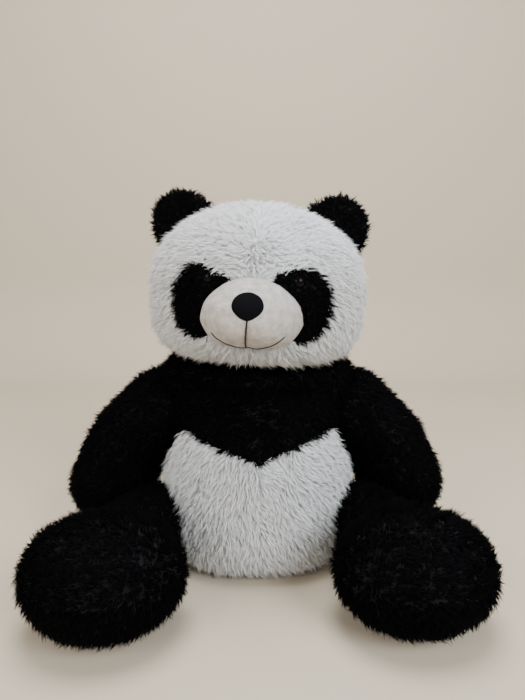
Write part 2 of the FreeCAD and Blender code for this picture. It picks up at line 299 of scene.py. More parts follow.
def squarer(verts, half, power, plan_power=2.0):
    """A unit ball sized to half, its lower half fuller: oval for a power of 2, boxy for a high one.

    plan_power does the same to its outline seen from above, wholly at the bottom and not at the top."""
    share = smooth_step(0.3, -0.5, verts[:, 2])
    in_plan = 2.0 + (plan_power - 2.0) * share
    across = (np.abs(verts[:, 0]) ** in_plan + np.abs(verts[:, 1]) ** in_plan) ** (1 / in_plan)
    down = np.abs(verts[:, 2])
    power = np.where(verts[:, 2] < 0, power, 2.0)
    reach = (across ** power + down ** power) ** (1 / power)
    return verts / reach[:, None] * half


def head_skin():
    """The head in its own frame: oval above, with full square cheeks below."""
    verts, faces = ball_mesh(6)
    verts = squarer(verts, HEAD_HALF - SKIN_DEPTH, HEAD_JOWL)
    pressed = (HEAD_HALF[2] - HEAD_PRESSED) / HEAD_HALF[2]
    verts[:, 2] *= np.where(verts[:, 2] < 0, pressed, 1.0)
    return verts + HEAD_CENTRE, faces


def torso_skin():
    """A round belly, wide shoulders and a short neck in one skin, flat where it sits."""
    verts, faces = ball_mesh(6)
    belly = squarer(verts, BELLY_HALF - SKIN_DEPTH, BELLY_SAG, BELLY_PLAN) + BELLY_CENTRE
    parts = [
        (belly, faces),
        ellipsoid(SHOULDERS_CENTRE, SHOULDERS_HALF - SKIN_DEPTH),
        capsule(SHOULDER_TOP * [-1, 1, 1], SHOULDER_TOP, SHOULDER_TOP_R, SHOULDER_TOP_R),
        ellipsoid(NECK_MIDDLE, NECK_HALF),
    ]
    verts, faces = blended(parts, voxel=4.0, rounds=10)
    verts[:, 2] = np.maximum(verts[:, 2], SEAT_Z)
    return verts, faces


def arm_ends(sign):
    """An arm's shoulder and the middle of its hand."""
    shoulder = joint_place("shoulder_lift_left")
    low, high = (np.array(corner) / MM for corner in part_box("arm_outer_left"))
    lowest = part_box("arm_inner_left")[0][2] / MM
    hand = np.array([high[0] - HAND_R, low[1] + HAND_R, lowest + HAND_R])
    flip = np.array([sign, 1.0, 1.0])
    return shoulder * flip, hand * flip


def arm_skin(sign):
    """A bowed arm, widest at the shoulder, whose hand rests against the belly."""
    first, last = arm_ends(sign)
    flip = np.array([sign, 1.0, 1.0])
    middle = first * 0.5 + last * 0.5 + ARM_BOW * flip
    middle_r = (ARM_R + HAND_R) / 2 + 1.0
    last = last - np.array([HAND_IN * sign, 0.0, 0.0])
    parts = [
        capsule(first, middle, ARM_R - ARM_SKIN_DEPTH, middle_r),
        capsule(middle, last, middle_r, HAND_SKIN_R),
    ]
    return blended(parts, voxel=3.5, rounds=5)


def leg_ends(sign):
    """A leg's hip and the middle of its foot."""
    hip = joint_place("hip_splay_left")
    low, high = (np.array(corner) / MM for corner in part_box("leg_upper_left"))
    foot = np.array([high[0] - FOOT_HALF[0], low[1] + FOOT_HALF[1], FOOT_HALF[2]])
    flip = np.array([sign, 1.0, 1.0])
    return hip * flip, foot * flip


def leg_skin(sign):
    """A thigh that widens into a big oval foot, flat where it rests on the floor."""
    first, last = leg_ends(sign)
    parts = [
        capsule(first, last, LEG_ROOT_R - SKIN_DEPTH, LEG_END_R - SKIN_DEPTH),
        ellipsoid(last, FOOT_HALF - FOOT_SKIN_DEPTH),
    ]
    verts, faces = blended(parts, voxel=3.5, rounds=6)
    verts[:, 2] = np.maximum(verts[:, 2], SOLE_Z)
    return verts, faces


def ear_skin(sign):
    """A half disc cushion, cupped a little to the front, in the head's frame."""
    verts, faces = ball_mesh(5)
    verts = verts * (EAR_HALF + EAR_SKIN_GROWTH)
    verts[:, 2] = np.where(verts[:, 2] < 0, verts[:, 2] * EAR_ROOT, verts[:, 2])
    across = verts[:, 0] / EAR_HALF[0]
    verts[:, 1] += EAR_CUP * (1.0 - across ** 2) * smooth_step(-4.0, 14.0, verts[:, 2])
    c, s = math.cos(EAR_TILT), math.sin(EAR_TILT)
    turn = np.array([[c, 0, s], [0, 1, 0], [-s, 0, c]])
    shift = EAR_SHIFT + np.array([0.0, 0.0, EAR_LEFT_RISE * sign])
    verts = (verts @ turn.T + EAR_BASE) * np.array([sign, 1.0, 1.0]) + shift
    if sign < 0:
        faces = faces[:, ::-1]
    return verts, faces


# ---- pile ----

def spread(verts, faces, count, rng):
    """Even random places on a skin, with the way the skin faces there."""
    normals = vertex_normals(verts, faces)
    a, b, c = (verts[faces[:, i]] for i in range(3))
    area = np.linalg.norm(np.cross(b - a, c - a), axis=1)
    steps = np.cumsum(area)
    picks = (np.arange(count) + rng.uniform(size=count)) / count * steps[-1]
    chosen = np.minimum(np.searchsorted(steps, picks), len(faces) - 1)
    u, v = rng.uniform(size=(2, count))
    folded = u + v > 1
    u, v = np.where(folded, 1 - u, u), np.where(folded, 1 - v, v)
    weights = np.stack([1 - u - v, u, v], axis=1)
    corners = faces[chosen]
    place = (verts[corners] * weights[:, :, None]).sum(axis=1)
    facing = unit((normals[corners] * weights[:, :, None]).sum(axis=1))
    return place, facing


def strand_faces(rings):
    """The corners and first corners of one strand's faces: quads between rings, then its tip."""
    loops, starts = [], []
    for level in range(rings - 1):
        for corner in range(3):
            following = (corner + 1) % 3
            low, high = 3 * level, 3 * level + 3
            starts.append(len(loops))
            loops += [low + corner, low + following, high + following, high + corner]
    last = 3 * rings - 3
    for corner in range(3):
        starts.append(len(loops))
        loops += [last + corner, last + (corner + 1) % 3, 3 * rings]
    return np.array(loops), np.array(starts)


def strand_points(centres, side, facing, width):
    """Points and normals of tapered three-sided strands, and each point's share of the way to the tip.

    centres is (strands, levels, 3), the last level being the tips."""
    count, levels = centres.shape[:2]
    rings = levels - 1
    size = 3 * rings + 1
    taper = np.linspace(1.0, 0.75, rings)
    along = unit(np.diff(centres, axis=1))
    verts = np.zeros((count, size, 3))
    normals = np.zeros((count, size, 3))
    share = np.zeros(size)
    share[-1] = 1.0
    for level in range(rings):
        over = unit(np.cross(along[:, level], side))
        radius = (width * taper[level])[:, None]
        share[3 * level:3 * level + 3] = level / rings
        for corner, angle in enumerate(np.radians([90.0, 210.0, 330.0])):
            reach = side * math.cos(angle) + over * (math.sin(angle) * 0.7)
            verts[:, 3 * level + corner] = centres[:, level] + reach * radius
            normals[:, 3 * level + corner] = unit(reach) * 1.1 + facing
    verts[:, -1] = centres[:, rings]
    normals[:, -1] = facing
    return verts, normals, share


def strands_mesh(name, centres, side, facing, width, material, rng):
    """One object that holds all the strands, with soft normals and the strands' own UV layer."""
    verts, normals, share = strand_points(centres, side, facing, width)
    count, size = verts.shape[:2]
    loops, starts = strand_faces(centres.shape[1] - 1)
    shift = np.arange(count)[:, None]
    all_loops = (loops[None, :] + shift * size).ravel()
    all_starts = (starts[None, :] + shift * len(loops)).ravel()

    mesh = bpy.data.meshes.new(name)
    mesh.vertices.add(count * size)
    mesh.vertices.foreach_set("co", (verts * MM).astype(np.float32).ravel())
    mesh.loops.add(len(all_loops))
    mesh.loops.foreach_set("vertex_index", all_loops.astype(np.int32))
    mesh.polygons.add(len(all_starts))
    mesh.polygons.foreach_set("loop_start", all_starts.astype(np.int32))
    mesh.update(calc_edges=True)
    mesh.shade_smooth()
    mesh.normals_split_custom_set_from_vertices(unit(normals).reshape(-1, 3))
    atlas = mesh.uv_layers.new(name=ATLAS)
    u = np.tile(share[loops] * 0.96 + 0.02, count)
    v = np.repeat(rng.uniform(0.02, 0.98, size=count), len(loops))
    atlas.data.foreach_set("uv", np.stack([u, v], axis=1).astype(np.float32).ravel())
    mesh.materials.append(material)
    piece = bpy.data.objects.new(name, mesh)
    bpy.context.collection.objects.link(piece)
    return piece


def uneven(rng, count, amount):
    """A factor near 1 for each of several lengths."""
    return 1.0 + amount * np.clip(rng.normal(size=count), -2.0, 2.0)


def lock_strands(roots, look, rng):
    """The middle lines of the strands in locks of pile, and each one's side, facing and width.

    roots holds each lock's place, the way the skin faces there, the way the pile is brushed and its
    length. look says how many strands a lock has, how far apart they start, their width, how far they
    lean at each step, how far their tips draw together, their share of the length, how uneven the
    brushing is, and the finish."""
    place, facing, comb, length = roots
    strands = look["strands"]
    comb = unit(comb - facing * (comb * facing).sum(axis=1, keepdims=True))
    twist = look["twist"] * (0.7 * wavy(place, 24.0, 11) + 0.55 * wavy(place, 8.0, 12))
    twist += look["twist"] * 0.6 * rng.normal(size=len(place))
    cross = np.cross(facing, comb)
    comb = comb * np.cos(twist)[:, None] + cross * np.sin(twist)[:, None]
    lift = 0.14 * wavy(place, 13.0, 13) + 0.12 * rng.normal(size=len(place))
    length = length * look["length"] * uneven(rng, len(place), 0.12)

    place, facing, comb = (np.repeat(a, strands, axis=0) for a in (place, facing, comb))
    length, lift = np.repeat(length, strands), np.repeat(lift, strands)
    count = len(place)
    cross = np.cross(facing, comb)
    angle = rng.uniform(0, 2 * math.pi, size=count)
    reach = look["spread"] * np.sqrt(rng.uniform(size=count))
    offset = cross * (np.cos(angle) * reach)[:, None] + comb * (np.sin(angle) * reach)[:, None]
    length = length * uneven(rng, count, 0.12)
    steps = len(look["lean"])
    centres = [place + offset - facing * ROOT_DEPTH]
    for lean in look["lean"]:
        tilt = np.clip(lean - lift + 0.08 * rng.normal(size=count), 0.05, 1.55)[:, None]
        forward = facing * np.cos(tilt) + comb * np.sin(tilt)
        centres.append(centres[-1] + forward * (length / steps)[:, None])
    centres = np.stack(centres, axis=1)
    draw = np.linspace(0.0, 1.0, steps + 1) ** 1.2 * look["draw"]
    centres -= offset[:, None, :] * draw[None, :, None]
    width = look["width"] * (1.0 + 0.18 * rng.normal(size=count))
    side = unit(cross + 0.25 * rng.normal(size=(count, 3)))
    return centres, side, facing, width


def grow(name, roots, look, body, rng, floor=None):
    """A piece of pile on a skin. No strand's middle line goes lower than floor."""
    centres, side, facing, width = lock_strands(roots, look, rng)
    if floor is not None:
        centres[:, :, 2] = np.maximum(centres[:, :, 2], floor)
    piece = strands_mesh(name, centres, side, facing, width, look["material"], rng)
    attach(piece, body)
    return piece


# ---- materials ----

def material_base(name, roughness):
    """A new material, with its nodes, its links and its shader."""
    material = bpy.data.materials.new(name)
    material.use_nodes = True
    nodes = material.node_tree.nodes
    shader = nodes["Principled BSDF"]
    shader.inputs["Roughness"].default_value = roughness
    return material, nodes, material.node_tree.links, shader


def ramp(nodes, stops):
    """A colour ramp from pairs of a position and a colour."""
    node = nodes.new("ShaderNodeValToRGB")
    elements = node.color_ramp.elements
    while len(elements) < len(stops):
        elements.new(0.5)
    for element, (place, colour) in zip(elements, stops):
        element.position = place
        element.color = (*colour, 1.0)
    return node


def pile_material(name, root, tip, dark, light, roughness, sheen, specular):
    """Strand colour runs from a darker root to the tip, the darker root being painted shade deep in the
    pile, and it differs a little from strand to strand.
    """
    material, nodes, links, shader = material_base(name, roughness)
    atlas = nodes.new("ShaderNodeUVMap")
    atlas.uv_map = ATLAS
    split = nodes.new("ShaderNodeSeparateXYZ")
    links.new(atlas.outputs["UV"], split.inputs[0])
    # Painted shade: the root colour is darker and stands for the shade deep among the strands; the tip
    # colour holds from 0.62 of the way out.
    along = ramp(nodes, [(0.0, root), (0.62, tip), (1.0, tip)])
    links.new(split.outputs["X"], along.inputs[0])
    each = ramp(nodes, [(0.0, (dark,) * 3), (0.5, (1.0, 1.0, 1.0)), (1.0, (light,) * 3)])
    links.new(split.outputs["Y"], each.inputs[0])
    mix = nodes.new("ShaderNodeMix")
    mix.data_type = "RGBA"
    mix.blend_type = "MULTIPLY"
    mix.inputs["Factor"].default_value = 1.0
    links.new(along.outputs["Color"], mix.inputs["A"])
    links.new(each.outputs["Color"], mix.inputs["B"])
    links.new(mix.outputs["Result"], shader.inputs["Base Color"])
    shader.inputs["Sheen Weight"].default_value = sheen
    shader.inputs["Sheen Roughness"].default_value = 0.4
    shader.inputs["Specular IOR Level"].default_value = specular
    return material


def cloth_material(name, low, high, scale, roughness, sheen, bump, distance=0.0004):
    """Soft cloth: mottled colour, with fine fibres standing up from it."""
    material, nodes, links, shader = material_base(name, roughness)
    place = nodes.new("ShaderNodeTexCoord")
    broad = nodes.new("ShaderNodeTexNoise")
    broad.inputs["Scale"].default_value = scale
    broad.inputs["Detail"].default_value = 6.0
    links.new(place.outputs["Object"], broad.inputs["Vector"])
    colour = ramp(nodes, [(0.3, low), (0.7, high)])
    links.new(broad.outputs["Fac"], colour.inputs[0])
    links.new(colour.outputs["Color"], shader.inputs["Base Color"])
    fine = nodes.new("ShaderNodeTexNoise")
    fine.inputs["Scale"].default_value = 900.0
    fine.inputs["Detail"].default_value = 3.0
    links.new(place.outputs["Object"], fine.inputs["Vector"])
    raised = nodes.new("ShaderNodeBump")
    raised.inputs["Strength"].default_value = bump
    raised.inputs["Distance"].default_value = distance
    links.new(fine.outputs["Fac"], raised.inputs["Height"])
    links.new(raised.outputs["Normal"], shader.inputs["Normal"])
    rough = nodes.new("ShaderNodeMapRange")
    rough.inputs["To Min"].default_value = roughness - 0.06
    rough.inputs["To Max"].default_value = min(roughness + 0.08, 1.0)
    links.new(fine.outputs["Fac"], rough.inputs["Value"])
    links.new(rough.outputs["Result"], shader.inputs["Roughness"])
    shader.inputs["Sheen Weight"].default_value = sheen
    shader.inputs["Sheen Roughness"].default_value = 0.5
    shader.inputs["Specular IOR Level"].default_value = 0.2
    return material


def woven_material(name, low, high):
    """Close matte weave, from two crossed sets of ridges."""
    material, nodes, links, shader = material_base(name, 0.85)
    place = nodes.new("ShaderNodeTexCoord")
    heights = []
    for axis in ("X", "Z"):
        wave = nodes.new("ShaderNodeTexWave")
        wave.bands_direction = axis
        wave.inputs["Scale"].default_value = 520.0
        wave.inputs["Distortion"].default_value = 0.6
        wave.inputs["Detail"].default_value = 2.0
        links.new(place.outputs["Object"], wave.inputs["Vector"])
        heights.append(wave.outputs["Fac"])
    both = nodes.new("ShaderNodeMath")
    both.operation = "MAXIMUM"
    links.new(heights[0], both.inputs[0])
    links.new(heights[1], both.inputs[1])
    colour = ramp(nodes, [(0.2, low), (1.0, high)])
    links.new(both.outputs[0], colour.inputs[0])
    links.new(colour.outputs["Color"], shader.inputs["Base Color"])
    raised = nodes.new("ShaderNodeBump")
    raised.inputs["Strength"].default_value = 0.5
    raised.inputs["Distance"].default_value = 0.0003
    links.new(both.outputs[0], raised.inputs["Height"])
    links.new(raised.outputs["Normal"], shader.inputs["Normal"])
    shader.inputs["Sheen Weight"].default_value = 0.004
    shader.inputs["Specular IOR Level"].default_value = 0.035
    return material


def eye_material():
    """Polished dark plastic, a little browner in places."""
    material, nodes, links, shader = material_base("eye_plastic", 0.1)
    place = nodes.new("ShaderNodeTexCoord")
    noise = nodes.new("ShaderNodeTexNoise")
    noise.inputs["Scale"].default_value = 220.0
    links.new(place.outputs["Object"], noise.inputs["Vector"])
    colour = ramp(nodes, [(0.3, (0.002, 0.002, 0.002)), (0.8, (0.006, 0.004, 0.003))])
    links.new(noise.outputs["Fac"], colour.inputs[0])
    links.new(colour.outputs["Color"], shader.inputs["Base Color"])
    shader.inputs["IOR"].default_value = 1.42
    shader.inputs["Specular IOR Level"].default_value = 0.12
    return material


# Painted shade: the first colour, at the roots, is about half as bright as the tips, for the shade deep
# in the white pile.
WHITE_PILE = pile_material(
    "white_pile", (0.42, 0.44, 0.46), (0.86, 0.88, 0.90), 0.78, 1.06, 0.62, 0.12, 0.08
)
# Painted shade: the first colour, at the roots, is darker than the tips, for the shade deep in the
# black pile.
BLACK_PILE = pile_material(
    "black_pile", (0.0006, 0.0006, 0.0008), (0.0020, 0.0020, 0.0026), 0.7, 1.25, 0.6, 0.0, 0.025
)
# Painted shade: the white backing is a grey darker than the pile's tips, standing for the shade under
# the pile.
WHITE_CLOTH = cloth_material(
    "white_backing", (0.66, 0.66, 0.66), (0.76, 0.76, 0.76), 60.0, 0.9, 0.2, 0.4
)
BLACK_CLOTH = cloth_material(
    "black_backing", (0.004, 0.004, 0.005), (0.008, 0.008, 0.009), 60.0, 0.9, 0.05, 0.4
)
# Partly the muzzle's own beige, partly painted shade: its colours are made darker all over, standing
# for the shade that falls on the muzzle.
MUZZLE_CLOTH = cloth_material(
    "muzzle_short_pile", (0.43, 0.40, 0.375), (0.66, 0.625, 0.59), 160.0, 0.9, 0.1, 1.0, 0.0013
)
NOSE_CLOTH = woven_material("nose_cloth", (0.0015, 0.0015, 0.002), (0.006, 0.006, 0.008))
THREAD = cloth_material(
    "black_thread", (0.008, 0.008, 0.009), (0.022, 0.022, 0.024), 900.0, 0.7, 0.1, 0.5
)
WHITE_THREAD = cloth_material(
    "white_thread", (0.60, 0.60, 0.58), (0.76, 0.76, 0.74), 900.0, 0.7, 0.1, 0.5
)
EYE_PLASTIC = eye_material()

WHITE_FINISH = {"material": WHITE_PILE, "slot": "white_plush"}
BLACK_FINISH = {"material": BLACK_PILE, "slot": "black_plush"}
WHITE_LOOK = {
    "strands": 5, "spread": 1.6, "width": 0.38, "lean": (0.42, 1.08), "draw": 0.8, "length": 1.0,
    "twist": 0.45, **WHITE_FINISH,
}
WHITE_UNDER = {
    "strands": 1, "spread": 0.0, "width": 0.52, "lean": (0.75,), "draw": 0.0, "length": 0.72,
    "twist": 0.6, **WHITE_FINISH,
}
BLACK_LOOK = {
    "strands": 4, "spread": 1.5, "width": 0.46, "lean": (0.36, 1.00), "draw": 0.66, "length": 1.0,
    "twist": 0.95, **BLACK_FINISH,
}
BLACK_UNDER = {
    "strands": 1, "spread": 0.0, "width": 0.62, "lean": (0.60,), "draw": 0.0, "length": 0.75,
    "twist": 0.9, **BLACK_FINISH,
}
LOOKS = {"white": (WHITE_LOOK, WHITE_UNDER), "black": (BLACK_LOOK, BLACK_UNDER)}
LOCKS = {"white": 0.130, "black": 0.095}      # locks on each square millimetre
UNDER = {"white": 0.95, "black": 0.45}        # strands of the shorter pile under them


def skin_area(verts, faces):
    """The area of a triangle mesh in square millimetres."""
    a, b, c = (verts[faces[:, i]] for i in range(3))
    return np.linalg.norm(np.cross(b - a, c - a), axis=1).sum() / 2


def cover(verts, faces, regions, body, rng, floor=None, placed=None):
    """Pile all over a skin, in two layers: locks, and a shorter pile under them.

    regions gives, for roots and the way the skin faces there, every region's name, colour, mask, comb
    and length. placed turns points and directions of the skin's frame to where they rest."""
    pieces = {}
    for layer, density in enumerate((LOCKS, UNDER)):
        most = max(density.values())
        place, facing = spread(verts, faces, int(skin_area(verts, faces) * most), rng)
        chance = rng.uniform(size=len(place))
        for name, (colour, mask, comb, length, thin) in regions(place, facing, rng).items():
            keep = mask & (chance < thin * density[colour] / most)
            roots = [place[keep], facing[keep], comb[keep], length[keep]]
            if placed is not None:
                roots[:3] = placed(*roots[:3])
            full_name = name if layer == 0 else name + "_under"
            piece = grow(full_name, roots, LOOKS[colour][layer], body, rng, floor)
            pieces[full_name] = piece
    return pieces


# ---- pieces ----

def in_patch(points):
    """How far out from an eye patch's middle each point of the head's frame is, 1 being its edge."""
    flat = np.stack([np.abs(points[:, 0] - PATCH_X), points[:, 2]], axis=1)
    oval = np.hypot(*((flat - PATCH_MIDDLE) / PATCH_HALF).T)
    tuft = np.hypot(*((flat - PATCH_TUFT) / PATCH_TUFT_R).T)
    return np.where(points[:, 1] < -20.0, np.minimum(oval, tuft), 9.0)


def head_comb(points):
    """The pile fans out from the forehead's parting, turns down the cheeks and hangs at the chin."""
    x, z = points[:, 0] - FACE_X, points[:, 2]
    side = np.tanh(x / 20.0)
    fan = 26.0 * smooth_step(30.0, 70.0, z)
    away = x + side * fan
    fall = 18.0 + 1.3 * np.maximum(0.0, np.abs(x) - 40.0) + 1.1 * np.maximum(0.0, 62.0 - z)
    rise = 0.55 * np.maximum(0.0, z - 80.0)
    front = np.stack([away, np.zeros_like(x), rise - fall], axis=1)
    back = np.stack([0.25 * x, np.zeros_like(x), np.full_like(x, -40.0)], axis=1)
    share = smooth_step(0.0, 30.0, points[:, 1])[:, None]
    return unit(front) * (1 - share) + unit(back) * share


def muzzle_reach(points):
    """How far out from the muzzle's middle each point is, 1 being its sewn edge."""
    x = points[:, 0] - MUZZLE_MIDDLE[0]
    z = points[:, 2] - MUZZLE_MIDDLE[1]
    reach = np.hypot(x, z) / muzzle_outline(np.arctan2(z, np.abs(x)))
    return np.where(points[:, 1] < -30.0, reach, 9.0)


def muzzle_outline(angle):
    """The muzzle's half width at each angle above level: narrow on top, full at the low cheeks."""
    degrees = [-90.0, -60.0, -32.0, -8.0, 12.0, 35.0, 60.0, 90.0]
    half = [27.5, 31.5, 40.5, 44.5, 42.0, 37.0, 34.0, 32.5]
    return np.interp(np.degrees(angle), degrees, half)


def head_regions(place, facing, rng):
    """The head's pile: white in front and behind, and the two black eye patches."""
    comb = head_comb(place)
    reach = muzzle_reach(place)
    away = (place - np.array([MUZZLE_MIDDLE[0], 0, MUZZLE_MIDDLE[1]])) * np.array([1.0, 0.0, 1.0])
    near = smooth_step(1.45, 1.0, reach)
    comb = comb * (1 - 0.75 * near)[:, None] + unit(away) * (0.75 * near)[:, None]
    length = HEAD_PILE - MUZZLE_SIDE_TRIM * near
    left = place[:, 0] > FACE_X
    from_eye = place - np.where(left[:, None], eye_middle(1.0), eye_middle(-1.0))
    eye_distance = np.linalg.norm(from_eye, axis=1)
    by_eye = smooth_step(12.0, 6.0, eye_distance)
    comb = comb * (1 - by_eye)[:, None] + unit(from_eye) * by_eye[:, None]
    chin = smooth_step(34.0, 14.0, place[:, 2])
    length = length * (1.0 - 0.35 * by_eye) + CHIN_PILE_EXTRA * chin
    black = in_patch(place) + 0.03 * rng.normal(size=len(place)) < 1.0
    length = np.where(black, length * PATCH_PILE_SHARE, length)
    grown = (reach > 0.93) & (place[:, 2] > HEAD_BARE_Z) & (eye_distance > EYE_R - 2.0)
    back = place[:, 1] > HEAD_BACK_Y
    thin = np.where(place[:, 1] < -10.0, 1.0, 0.62)
    return {
        "head_pile_left": ("white", grown & ~black & ~back & left, comb, length, thin),
        "head_pile_right": ("white", grown & ~black & ~back & ~left, comb, length, thin),
        "head_pile_back": ("white", grown & ~black & back, comb, length, thin),
        "eye_patch_pile_left": ("black", grown & black & left, comb, length, 1.4),
        "eye_patch_pile_right": ("black", grown & black & ~left, comb, length, 1.4),
    }


def rest_head(place, facing, comb):
    """Points and directions of the head's frame where they rest."""
    return from_head(place), facing @ HEAD_TURN.T, comb @ HEAD_TURN.T


def make_head():
    verts, faces = head_skin()
    skin = new_object("head_skin", from_head(verts), faces, WHITE_CLOTH, "head")
    skin.data.materials.append(BLACK_CLOTH)
    dark = in_patch(verts[faces].mean(axis=1)) < 1.0
    skin.data.polygons.foreach_set("material_index", dark.astype(np.int32))
    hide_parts("head_stuffing")
    rng = np.random.default_rng(5)
    pieces = cover(verts, faces, head_regions, "head", rng, placed=rest_head)
    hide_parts("head_back")
    for side in SIDES:
        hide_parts("head_front_" + side)
        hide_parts("eye_patch_" + side)


def eye_middle(sign):
    """The middle of an eye's dome, in the head's frame."""
    half = HEAD_HALF - SKIN_DEPTH
    x = EYE_X * sign + FACE_X
    across = (x - HEAD_CENTRE[0]) / half[0]
    up = (EYE_Z - HEAD_CENTRE[2]) / half[2]
    y = HEAD_CENTRE[1] - half[1] * math.sqrt(1 - across ** 2 - up ** 2)
    return np.array([x, y + EYE_SINK, EYE_Z])


def make_eyes():
    """A domed eye on each patch, and a finish for the washer that holds it inside the head."""
    for side, sign in SIDES.items():
        verts, faces = ball_mesh(5)
        middle = eye_middle(sign)
        ahead = unit((middle - HEAD_CENTRE) / HEAD_HALF ** 2)
        depth = verts @ ahead
        flat = np.where(depth < 0, 0.30, 0.92)
        verts = (verts + ahead * (depth * (flat - 1))[:, None]) * EYE_R
        piece = new_object(
            "eye_dome_" + side, from_head(verts + middle), faces, EYE_PLASTIC, "head"
        )
        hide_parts("eye_" + side)
        washer = frame["nodes"]["eye_washer_" + side]
        washer.data.materials.clear()
        washer.data.materials.append(WHITE_THREAD)


def philtrum_x(z):
    """The stitched line from the nose to the mouth was sewn a little askew."""
    return -1.0 + 0.11 * (z - 40.0)


def muzzle_surface(radial, angle):
    """Points of the muzzle in the head's frame. radial is 0 at its tip and 1 at its edge."""
    bend = radial * math.pi / 2
    level = np.arctan2(np.sin(angle), np.abs(np.cos(angle)))
    reach = muzzle_outline(level) * np.sin(bend) ** 0.92
    tip = MUZZLE_TIP_Z * (1 - radial) + MUZZLE_MIDDLE[1] * radial
    x = reach * np.cos(angle)
    z = tip + reach * np.sin(angle)
    y = MUZZLE_BACK_Y + (MUZZLE_FRONT_Y - MUZZLE_BACK_Y) * np.cos(bend) ** 0.85
    cheeks = np.exp(-((np.abs(x) - 17.0) / 11.0) ** 2 - ((z - 40.0) / 12.0) ** 2)
    groove = np.exp(-((x - philtrum_x(z)) / 2.6) ** 2) * smooth_step(54.0, 44.0, z)
    y = y - 2.4 * cheeks + 1.3 * groove
    return np.stack([x + FACE_X, y, z], axis=-1)


def polar_grid(rings, spokes):
    """The faces of a disc of rings round a middle point, and each point's ring share and angle."""
    faces = []
    for spoke in range(spokes):
        faces.append((0, 1 + (spoke + 1) % spokes, 1 + spoke))
    for ring in range(rings - 1):
        for spoke in range(spokes):
            following = (spoke + 1) % spokes
            low, high = 1 + ring * spokes, 1 + (ring + 1) * spokes
            faces.append((low + spoke, low + following, high + following, high + spoke))
    ring, spoke = np.meshgrid(np.arange(1, rings + 1), np.arange(spokes), indexing="ij")
    share = np.concatenate([[0.0], (ring / rings).ravel()])
    angle = np.concatenate([[0.0], (spoke * 2 * math.pi / spokes).ravel()])
    return faces, share, angle


def closed_cap(front, faces, spokes, back):
    """A disc of points, closed behind by a flat fan to one point."""
    count = len(front)
    verts = np.concatenate([front, [back]])
    rim = count - spokes
    fan = [(rim + s, rim + (s + 1) % spokes, count) for s in range(spokes)]
    return verts, list(faces) + fan


def make_muzzle():
    rings, spokes = 60, 120
    faces, share, angle = polar_grid(rings, spokes)
    front = muzzle_surface(share, angle)
    pucker = 0.18 * wavy(front, 7.0, 31) * (1 - smooth_step(0.85, 1.0, share))
    front[:, 1] -= pucker
    verts, faces = closed_cap(front, faces, spokes, [FACE_X, MUZZLE_BACK_Y, MUZZLE_MIDDLE[1]])
    muzzle = new_object(
        "muzzle_skin", from_head(verts), faces, MUZZLE_CLOTH, "head"
    )
    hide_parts("muzzle_cover", "muzzle_stuffing")
    tree = BVHTree.FromPolygons([tuple(v) for v in verts], faces)
    make_nose(tree)
    make_stitches(tree)


def on_muzzle(tree, x, z, proud):
    """A point proud of the muzzle's front, in the head's frame. x is from the face's middle."""
    place, normal, _, _ = tree.ray_cast(Vector((x + FACE_X, -200.0, z)), Vector((0, 1, 0)))
    if normal.y > 0:
        normal = -normal
    return np.array(place + normal * proud)


def make_nose(tree):
    """A flat cloth oval, drawn to a blunt point below, sewn on with a turned edge."""
    rings, spokes = 22, 72
    faces, share, angle = polar_grid(rings, spokes)
    down = np.maximum(0.0, -np.sin(angle))
    half_x = NOSE_HALF[0] * (1.0 - 0.30 * down ** 2)
    half_z = NOSE_HALF[1] * (1.0 + 0.06 * down)
    x = share * half_x * np.cos(angle)
    z = NOSE_Z + share * half_z * np.sin(angle)
    edge = np.sqrt(np.maximum(0.0, 1.0 - share ** 6))
    height = -0.4 + 1.9 * edge + 1.3 * (1 - share ** 2)
    front = np.array([on_muzzle(tree, a, b, h) for a, b, h in zip(x, z, height)])
    back = on_muzzle(tree, 0.0, NOSE_Z, -2.0)
    verts, faces = closed_cap(front, faces, spokes, back)
    nose = new_object("nose_pad", from_head(verts), faces, NOSE_CLOTH, "head")
    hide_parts("nose")


def thread_mesh(points, radius, stitch):
    """A thread along points, pinched where each stitch goes into the cloth."""
    steps = np.linalg.norm(np.diff(points, axis=0), axis=1)
    along = np.concatenate([[0.0], np.cumsum(steps)])
    count = max(12, int(along[-1] / 0.35))
    places = np.linspace(0, along[-1], count)
    line = np.stack([np.interp(places, along, points[:, i]) for i in range(3)], axis=1)
    heading = unit(np.gradient(line, axis=0))
    side = unit(np.cross(heading, np.array([0.0, -1.0, 0.0])))
    over = np.cross(side, heading)
    phase = places / stitch * math.pi
    size = radius * (0.62 + 0.38 * np.abs(np.sin(phase)) ** 0.5)
    size *= smooth_step(0.0, 1.2, places) * smooth_step(0.0, 1.2, along[-1] - places) * 0.9 + 0.1
    corners = 10
    verts = []
    for corner in range(corners):
        turn = 2 * math.pi * corner / corners
        ring = side * math.cos(turn) + over * math.sin(turn)
        verts.append(line + ring * size[:, None])
    verts = np.stack(verts, axis=1).reshape(-1, 3)
    faces = []
    for level in range(count - 1):
        for corner in range(corners):
            following = (corner + 1) % corners
            low, high = level * corners, (level + 1) * corners
            faces.append((low + corner, low + following, high + following, high + corner))
    faces.append(tuple(range(corners))[::-1])
    faces.append(tuple((count - 1) * corners + c for c in range(corners)))
    return verts, faces


def make_stitches(tree):
    """The stitched line under the nose, and the stitched smile."""
    drop = np.linspace(NOSE_Z - 10.0, PHILTRUM_LOW_Z, 30)
    line = np.array([on_muzzle(tree, philtrum_x(z), z, 0.25) for z in drop])
    verts, faces = thread_mesh(line, 0.75, 3.0)
    piece = new_object(
        "philtrum_thread", from_head(verts), faces, THREAD, "head"
    )
    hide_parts("philtrum_stitch")
    across = np.linspace(-SMILE_HALF, SMILE_HALF, 60)
    height = SMILE_LOW_Z + SMILE_RISE * (np.abs(across) / SMILE_HALF) ** 2.1
    line = np.array([on_muzzle(tree, x, z, 0.2) for x, z in zip(across, height)])
    verts, faces = thread_mesh(line, 0.62, 3.0)
    piece = new_object("smile_thread", from_head(verts), faces, THREAD, "head")
    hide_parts("smile_stitch")


